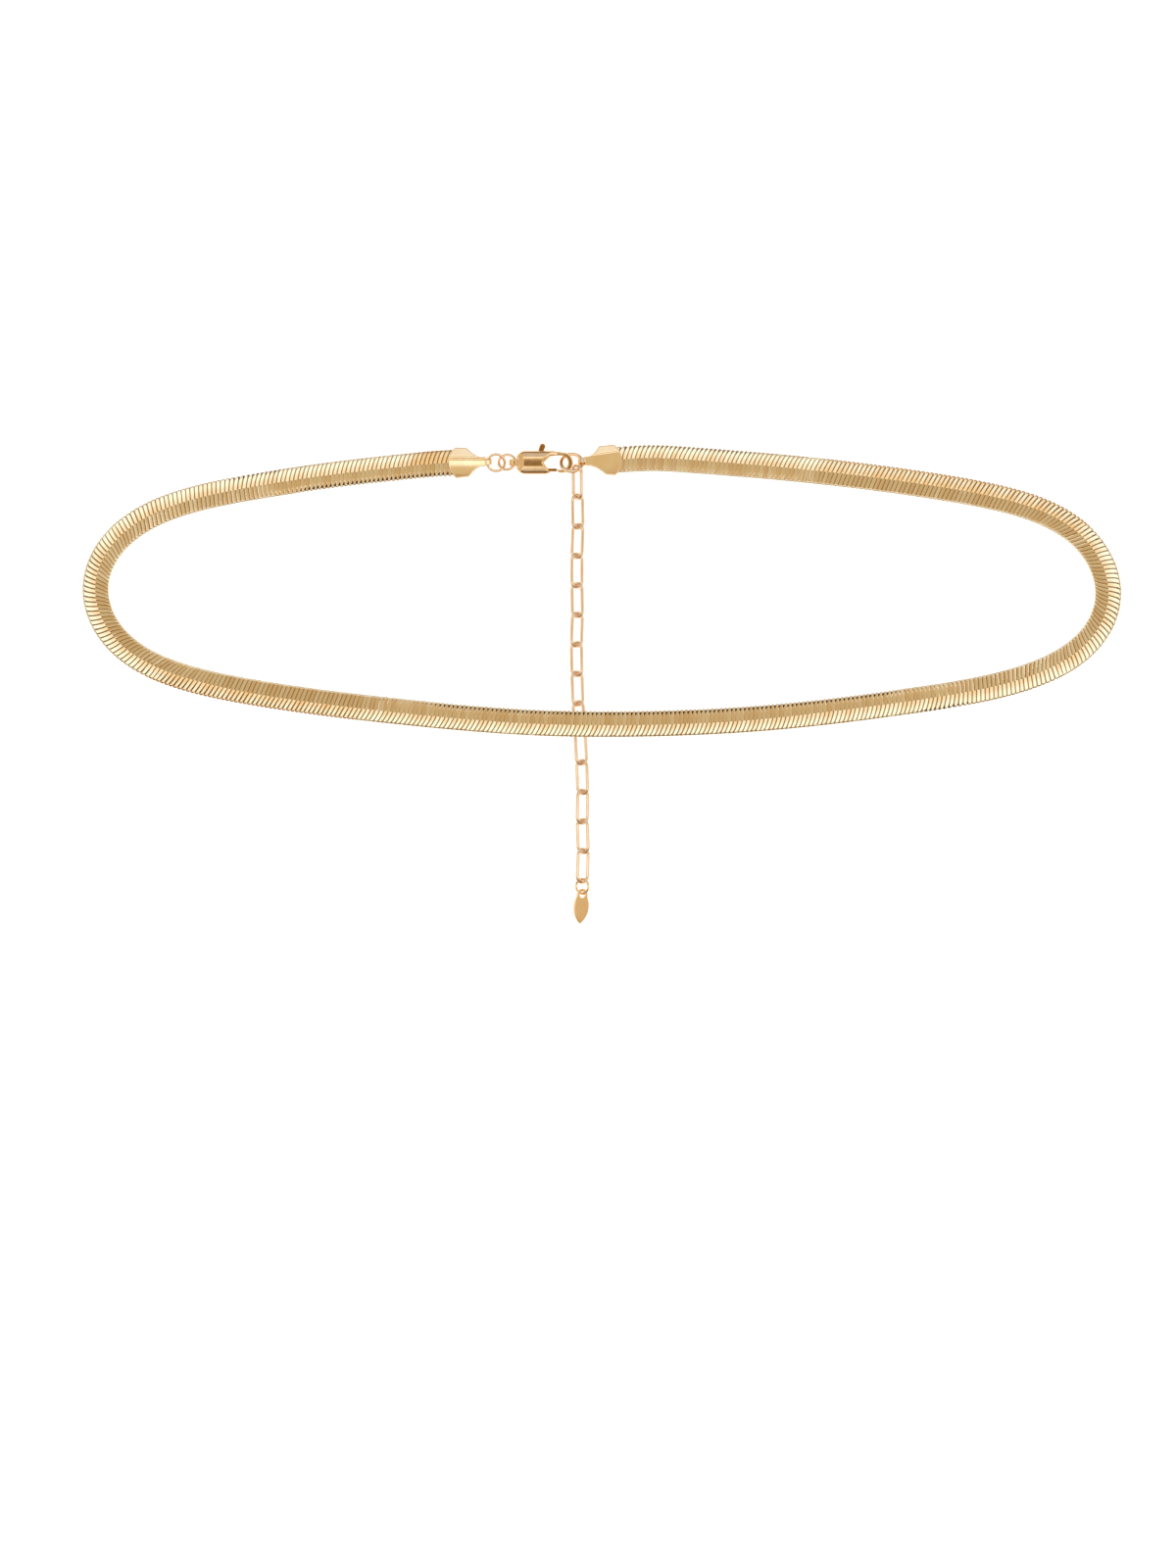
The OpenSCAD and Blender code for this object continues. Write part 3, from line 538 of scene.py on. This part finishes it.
def bent_wire(name, node, corners, seam, around=20):
    """Round wire along a loop of two half circles and two straights (none on a ring). `seam` thins or
    thickens the wire by that share at its joint."""
    centre, (along, over, up), (length, width, wire) = lie_of(node)
    r, straight = (width - wire) / 2, max(0, length - width) / 2
    half = np.linspace(-np.pi / 2, np.pi / 2, corners + 1)
    if straight > 0.05:
        turn = np.concatenate([half, half + np.pi])
        push = np.repeat([straight, -straight], corners + 1)
    else:
        turn = np.linspace(0, 2 * np.pi, 2 * corners + 1)[:-1]
        push = 0 * turn
    out = np.cos(turn)[:, None] * along + np.sin(turn)[:, None] * over
    path = centre + out * r + push[:, None] * along
    joint = path[corners // 3]
    near = np.linalg.norm(path - joint, axis=1)
    thick = wire / 2 * (1 + seam * np.exp(-((near / SEAM_W) ** 2)))
    a = np.linspace(0, 2 * np.pi, around, endpoint=False)
    spokes = np.cos(a)[None, :, None] * out[:, None] + np.sin(a)[None, :, None] * up
    points = path[:, None] + thick[:, None, None] * spokes
    n = len(path)
    i, j = np.meshgrid(np.arange(n), np.arange(around), indexing="ij")
    i2, j2 = (i + 1) % n, (j + 1) % around
    faces = np.stack([i * around + j, i2 * around + j, i2 * around + j2, i * around + j2], -1).reshape(-1, 4)
    return make_piece(name, points.reshape(-1, 3), faces.tolist())


for name, node in (("Cap_ring", "cap_ring"), ("Clasp_ring", "clasp_ring"), ("Joining_ring", "join_ring"),
                   ("Tag_ring", "tag_ring")):
    dress(bent_wire(name, node, 60, -0.3, 24), ring_gold, "necklace", "ring_gold", node)
for n in range(1, 15):
    dress(bent_wire(f"Extender_link_{n}", f"extender_link_{n}", 30, 0.05), link_gold, "necklace", "link_gold",
          f"extender_link_{n}")


# %% [markdown]
# ## Cast and pressed pieces
# The clasp, its lever, the end caps and the tag have rounded edges and soft hollows
# that run into each other. Such a form is easy to say as a distance: at each point of
# space, how far is the surface, with a minus inside the metal. Two forms join with the
# smaller of their distances and cut each other with the larger. The surface is then
# found where the distance passes zero: one point is set in each small cell that the
# surface crosses, at the mean of where it crosses the cell's edges, and neighbouring
# cells are joined by quads.

# %% From distances to a surface
def skin(distance, low, high, cell):
    """Points and quads of the surface where distance(x, y, z) is zero, inside a box in millimetres."""
    axes = [np.arange(a - 2.5 * cell, b + 2.5 * cell, cell) for a, b in zip(low, high)]
    f = distance(*np.meshgrid(*axes, indexing="ij"))
    inside = f < 0
    corner = lambda a, o: a[tuple(slice(p, a.shape[k] - 1 + p) for k, p in enumerate(o))]
    corners = [np.array([i, j, k]) for i in (0, 1) for j in (0, 1) for k in (0, 1)]
    total = sum(corner(inside, o).astype(int) for o in corners)
    cells = np.argwhere((total > 0) & (total < 8))
    number = np.full(total.shape, -1)
    number[tuple(cells.T)] = np.arange(len(cells))
    summed, count = np.zeros((len(cells), 3)), np.zeros(len(cells))
    for o in corners:
        for k in np.flatnonzero(o == 0):
            q = o + np.eye(3, dtype=int)[k]
            a, b = f[tuple((cells + o).T)], f[tuple((cells + q).T)]
            cut = (a < 0) != (b < 0)
            share = np.where(cut, a / np.where(cut, a - b, 1), 0)
            summed += np.where(cut[:, None], o + share[:, None] * np.eye(3)[k], 0)
            count += cut
    points = (cells + summed / count[:, None]) * cell + [a[0] for a in axes]
    faces = []
    for turn in ((0, 1, 2), (1, 2, 0), (2, 0, 1)):
        n, s = number.transpose(turn), inside.transpose(turn)
        i, j, k = np.nonzero(s[:-1, 1:-1, 1:-1] != s[1:, 1:-1, 1:-1])
        quad = np.stack([n[i, j, k], n[i, j + 1, k], n[i, j + 1, k + 1], n[i, j, k + 1]], -1)
        faces.append(np.where(s[i, j + 1, k + 1][:, None], quad, quad[:, ::-1]))
    return points, np.vstack(faces)


def outline(corners, x, y):
    """Distance to a closed outline's nearest side, minus inside, where a ray crosses its sides an odd number of
    times."""
    a = np.asarray(corners, float)
    b = np.roll(a, -1, axis=0)
    shape = x.shape[:2]
    p = np.stack([x[:, :, 0].ravel(), y[:, :, 0].ravel()], -1)[:, None]
    d = b - a
    share = np.clip(((p - a) * d).sum(-1) / (d * d).sum(-1), 0, 1)
    away = np.linalg.norm(p - a - share[..., None] * d, axis=-1).min(1)
    level = (a[:, 1] > p[..., 1]) != (b[:, 1] > p[..., 1])
    slope = np.where(d[:, 1] == 0, 1, d[:, 1])
    right = p[..., 0] < a[:, 0] + (p[..., 1] - a[:, 1]) * d[:, 0] / slope
    odd = (level & right).sum(1) % 2 == 1
    return np.where(odd, -away, away).reshape(shape)[:, :, None]


def rounded(a, b, r):
    """Where two forms cut each other, with a round edge of radius r."""
    return np.hypot(np.maximum(a + r, 0), np.maximum(b + r, 0)) + np.minimum(np.maximum(a, b) + r, 0) - r


def merged(a, b, r):
    """Two forms joined, with a soft hollow of size r where they meet."""
    h = np.maximum(r - np.abs(a - b), 0) / r
    return np.minimum(a, b) - h * h * r / 4


# %% [markdown]
# ## End caps
# A cap is one pressed piece: a flat box that grips the band's end, with a crease along
# its top where two facets meet, a neck, and a tongue curled into an eye. Its edges are
# softly rounded by the press and the plating.

# %% The two end caps
CAP_W = BAND_W + 2 * (SEAT_GAP + CAP_WALL)
CAP_T = RIDGE_T + 2 * (SEAT_GAP + CAP_WALL)
NECK_W, NECK_T, MOUTH_BULGE, CAP_SIDE, SIDE_TAPER = 1.8, 0.45, 1.4, 2.3, 0.2
UPPER_FALL, CREASE_DEPTH, CREASE_W = 0.24, 0.045, 0.09


def cap_plan(skew):
    """Half width from neck to shoulder grows as the 1.7th power of the way; the mouth is an arc."""
    start, side_start = 1.2, CAP_LEN - MOUTH_BULGE - CAP_SIDE
    t = np.linspace(0, 1, 17)
    y = NECK_W / 2 + (CAP_W / 2 - SIDE_TAPER - NECK_W / 2) * t**1.7
    upper = np.stack([start + (side_start - skew / 2 - start) * t, y], -1)
    lower = np.stack([start + (side_start + skew / 2 - start) * t, -y], -1)[::-1]
    r = ((CAP_W / 2) ** 2 + MOUTH_BULGE**2) / (2 * MOUTH_BULGE)
    a = math.asin(CAP_W / 2 / r) * np.linspace(1, -1, 25)
    mouth = np.stack([CAP_LEN - r + r * np.cos(a), r * np.sin(a)], -1)
    return np.vstack([[[0.45, NECK_W / 2]], upper, mouth, lower, [[0.45, -NECK_W / 2]]])


def end_cap(name, node, eye, turn, lift, crease, skew, fold, fall, eye_z, eye_tilt, hole_r, mirrored):
    """The outline cut by the two facets, less the room for the band and under the neck, and joined to the curled
    eye. The lower facet is level along a fold, then falls by fall[0], easing by fall[1] a millimetre."""
    plan = cap_plan(skew)
    eye_r = hole_r + 0.2
    neck_under = eye_z + eye_r - NECK_T

    def distance(x, y, z):
        c, s = math.cos(math.radians(crease)), math.sin(math.radians(crease))
        across = c * (y - NECK_W / 2) - s * x
        below = np.maximum(-across - fold, 0)
        top = lift + CAP_T - np.where(across > 0, UPPER_FALL * across, (fall[0] - fall[1] / 2 * below) * below)
        top = top - CREASE_DEPTH * np.exp(-((across / CREASE_W) ** 2))
        top = top - CREASE_DEPTH * (fold > 0) * np.exp(-(((across + fold) / CREASE_W) ** 2))
        body = rounded(outline(plan, x, y), np.maximum(z - top, lift - z), 0.16)
        body = np.maximum(body, -np.maximum(x - 1.7, z - neck_under))
        roof = lift + CAP_WALL + RIDGE_T + 0.12 - np.abs(y) * (RIDGE_T - EDGE_T) / (BAND_W / 2 + SEAT_GAP)
        room = np.maximum(np.maximum(np.abs(y) - BAND_W / 2 - SEAT_GAP, np.maximum(lift + CAP_WALL - z, z - roof)),
                          CAP_LEN - SEAT_DEPTH - x)
        body = np.maximum(body, -room)
        ct, st = math.cos(eye_tilt), math.sin(eye_tilt)
        radial = np.hypot(x, -y * st + (z - eye_z) * ct)
        axial = np.abs(y * ct + (z - eye_z) * st) - 0.5
        curl = rounded(radial - eye_r, axial, 0.08)
        return np.maximum(merged(body, curl, 0.12), hole_r - radial)

    points, faces = skin(distance, (-1.1, -3.1, min(0, lift)), (CAP_LEN, 3.1, 2.9), 0.06)
    if mirrored:
        points[:, 0] *= -1
        faces = faces[:, ::-1]
    c, s = math.cos(turn), math.sin(turn)
    points[:, :2] = points[:, :2] @ np.array([[c, s], [-s, c]]) + eye
    return dress(make_piece(name, points, faces.tolist(), sharp=45), cap_gold, "necklace", "cap_gold", node)


end_cap("Left_end_cap", "end_cap_left", LEFT_EYE, LEFT_TURN, 0, 2, -0.2, 0.55, (0.32, 0.1), CAP_RING_Z + 0.06,
        math.radians(16.1), 0.58, True)
end_cap("Right_end_cap", "end_cap_right", RIGHT_EYE, RIGHT_TURN, RIGHT_LIFT, 5.5, 1.1, 0, (0.12, 0.02), JOIN_Z - 0.08,
        math.radians(-23.1), 0.7, False)

# %% [markdown]
# ## Lobster clasp
# The clasp is a small casting: a plump body, a window with a pointed notch, and an arm
# that thins towards the round hook. A flat lever turns on a pin in a slot through the
# body. Its thumb tab stands out at the back, and its gate closes the hook.

# %% The clasp's body
CLASP_AT = np.array([-5.55, 42.1, 1.35])
CLASP_W, CLASP_T, HOOK_T, HOOK_R, WINDOW_R = 4.4, 2.7, 0.66, 1.93, 1.33
HOOK_END, NOTCH_X, EYE_X, NOSE_TIP = 0.93, -5.58, -11.16, -2.9
PIVOT = np.array([NOTCH_X - 0.6, -0.82])
BODY_START, CHEEK_END = EYE_X + 0.4, NOTCH_X + 1.2
HUB_R, TAB_W, TAB_LEN, TAB_ANGLE, GATE_DROP, GATE_W, LEVER_T, SWING = 0.8, 0.95, 1.4, 88, 0.58, 0.56, 0.76, 22
FLAT_AT, FLAT_HALF, FACET_FALL, PIN_ROOM_R, PIN_ROOM_HALF = 0.08, 0.92, 0.38, 0.34, 1.11


def swept_bar(angle, off, width, length):
    """The room that a bar of the lever needs from closed to open: a wedge between its two places."""
    along = lambda a: np.array([math.cos(math.radians(a)), math.sin(math.radians(a))])
    opened = angle + SWING + 2
    half = width / 2 + 0.04
    right = PIVOT + (off - half) * along(angle + 90)
    left = PIVOT + (off + half) * along(opened + 90)
    return [right, right + length * along(angle), left + length * along(opened), left]


def clasp_distance(x, y, z):
    """The plan's and the height's distances cut together with a round edge, less the slot and the eye's hole. Its
    top is flat down the middle and falls along two facets, FACET_FALL for each millimetre outwards."""
    a = np.linspace(0, np.pi / 2, 13)
    corner = np.stack([BODY_START + 1.7 * (1 - np.cos(a)), 0.62 + (CLASP_W / 2 - 0.62) * np.sin(a)], -1)
    hook = -HOOK_R
    middle = -HOOK_END - WINDOW_R
    body = outline(np.vstack([corner, [[NOTCH_X + 1.7, CLASP_W / 2], [hook, HOOK_R], [hook, 0], [CHEEK_END, 0],
                                       [CHEEK_END, 0.25 - CLASP_W / 2], [CHEEK_END - 0.8, -CLASP_W / 2]],
                              (corner * [1, -1])[::-1]]), x, y)
    nose = outline([[hook, -HOOK_R], [hook, -WINDOW_R], [NOSE_TIP, -WINDOW_R], [NOSE_TIP, 0.3 - HOOK_R],
                    [NOSE_TIP + 0.3, -HOOK_R]], x, y)
    plan = np.minimum(np.minimum(body, np.hypot(x - hook, y) - HOOK_R), nose)
    window_cut = outline([[NOTCH_X, 0], [NOTCH_X + 1.35, 1.2], [NOTCH_X + 2.4, WINDOW_R], [middle, WINDOW_R],
                          [middle, -WINDOW_R], [NOSE_TIP, -WINDOW_R], [CHEEK_END, 0.45 - CLASP_W / 2]], x, y)
    window_cut = np.minimum(window_cut, np.hypot(x - middle, y) - WINDOW_R)
    mouth = np.maximum(np.maximum(CHEEK_END - x, x - NOSE_TIP), y)
    plan = np.maximum(plan, -np.minimum(window_cut, mouth))
    profile = np.interp(x, [EYE_X, BODY_START + 0.5, BODY_START + 1.4, NOTCH_X - 0.2, NOTCH_X + 0.6, NOTCH_X + 2.6, 0],
                        [0.45, 0.75, 1.35, 1.35, 1.2, HOOK_T / 2, HOOK_T / 2])
    off_flat = np.abs(y - FLAT_AT) - FLAT_HALF
    pillow = CLASP_T / 2 - 0.02 * (y + 0.2) ** 2 - FACET_FALL * (off_flat + np.sqrt(off_flat**2 + 0.004)) / 2
    tall = np.minimum(profile, pillow)
    form = rounded(plan, np.abs(z) - tall, np.clip(tall * 0.45, 0.2, 0.42))
    slot = np.minimum(np.minimum(outline(swept_bar(TAB_ANGLE, 0, TAB_W, CLASP_W), x, y),
                                 outline(swept_bar(0, -GATE_DROP, GATE_W, CHEEK_END - PIVOT[0] + 0.12), x, y)),
                      np.hypot(x - PIVOT[0], y - PIVOT[1]) - HUB_R - 0.04)
    form = np.maximum(form, -np.maximum(slot, np.abs(z) - LEVER_T / 2 - 0.04))
    pin_room = np.maximum(np.hypot(x - PIVOT[0], y - PIVOT[1]) - PIN_ROOM_R, np.abs(z) - PIN_ROOM_HALF)
    form = np.maximum(form, -pin_room)
    radial = np.hypot(x - EYE_X, z)
    form = merged(form, rounded(radial - 0.94, np.abs(y) - 0.6, 0.12), 0.15)
    return np.maximum(form, 0.7 - radial)


points, faces = skin(clasp_distance, (-12.15, -2.25, -1.4), (0.05, 2.25, 1.4), 0.06)
dress(make_piece("Clasp_body", points + CLASP_AT, faces.tolist(), sharp=45), clasp_gold, "necklace", "clasp_gold",
      "clasp_body")
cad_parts["clasp_pin"].data.materials.clear()
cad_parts["clasp_pin"].data.materials.append(clasp_gold)


# %% The clasp's lever
def lever_distance(x, y, z):
    """A hub, a stem with a round thumb tab, and the gate, all of one flat piece with softened edges."""
    x, y = x - PIVOT[0], y - PIVOT[1]
    a, lean = math.radians(TAB_ANGLE - 90), math.radians(20)
    u, v = x * math.cos(a) + y * math.sin(a), -x * math.sin(a) + y * math.cos(a)
    out, tab_r = 0.12, TAB_W / 2 + 0.05
    stem_len = CLASP_W / 2 + out - PIVOT[1]
    run = (TAB_LEN - out - tab_r) / math.cos(lean)
    share = np.clip((u * math.sin(lean) + (v - stem_len) * math.cos(lean)) / run, 0, 1)
    tab = np.hypot(u - share * run * math.sin(lean), v - stem_len - share * run * math.cos(lean))
    stem = np.maximum(np.abs(u) - TAB_W / 2, np.abs(v - stem_len / 2) - stem_len / 2)
    plan = np.minimum(np.hypot(x, y) - HUB_R, np.minimum(stem, tab - TAB_W / 2 - 0.05 * share))
    reach = NOSE_TIP - 0.12 - PIVOT[0]
    gate = np.maximum(np.abs(x - (reach + 0.04) / 2) - (reach - 0.04) / 2, np.abs(y + GATE_DROP) - GATE_W / 2)
    plan = np.minimum(plan, gate)
    return np.maximum(rounded(plan, np.abs(z) - LEVER_T / 2, 0.14), 0.36 - np.hypot(x, y))


points, faces = skin(lever_distance, (PIVOT[0] - 0.9, -2, -0.4), (NOSE_TIP, 3.7, 0.4), 0.05)
dress(make_piece("Clasp_lever", points + CLASP_AT, faces.tolist(), sharp=45), lever_gold, "lever", "lever_gold",
      "clasp_lever")

# %% [markdown]
# ## Tag
# A leaf of sheet brass hangs at the extender's foot, and leans on its ring. Two arcs
# meet in a point at its foot, and a round end holds the hole.

# %% The tag
TAG_W, TAG_LEN, TAG_T, TAG_HOLE, TAG_RIM = 3.2, 6.6, 0.5, 0.66, 0.45


def tag_distance(x, y, z):
    """Two arcs cut together, joined to a round end, with a hole and softened edges."""
    top, leaf = TAG_HOLE + TAG_RIM, TAG_LEN - 0.3
    r = (leaf**2 + TAG_W**2) / (4 * TAG_W)
    down = y - (top - TAG_LEN + leaf / 2)
    arcs = np.maximum(np.hypot(x - TAG_W / 2 + r, down), np.hypot(x + TAG_W / 2 - r, down)) - r
    plan = merged(arcs, np.hypot(x, y) - top, 0.3)
    plan = np.maximum(plan, TAG_HOLE - np.hypot(x, y))
    return rounded(plan, np.abs(z) - TAG_T / 2, 0.12)


points, faces = skin(tag_distance, (-TAG_W / 2, -5.6, -TAG_T / 2), (TAG_W / 2, 1.2, TAG_T / 2), 0.045)
lean, tilt = math.radians(-5), math.radians(32)
spin = np.array([[math.cos(lean), -math.sin(lean), 0], [math.sin(lean), math.cos(lean), 0], [0, 0, 1]])
roll = np.array([[math.cos(tilt), 0, math.sin(tilt)], [0, 1, 0], [-math.sin(tilt), 0, math.cos(tilt)]])
points = points @ (spin @ roll).T
low, high = (np.array(v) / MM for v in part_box("tag"))
points += (low + high) / 2 - (points.min(0) + points.max(0)) / 2
dress(make_piece("Tag", points, faces.tolist(), sharp=45), tag_gold, "necklace", "tag_gold", "tag")

# %% [markdown]
# ## Last look
# The finished model's bounds are printed in millimetres.

# %% Print the finished bounds
low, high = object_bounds()
print("finished   ", [round(v / MM, 2) for v in (*low, *high)])
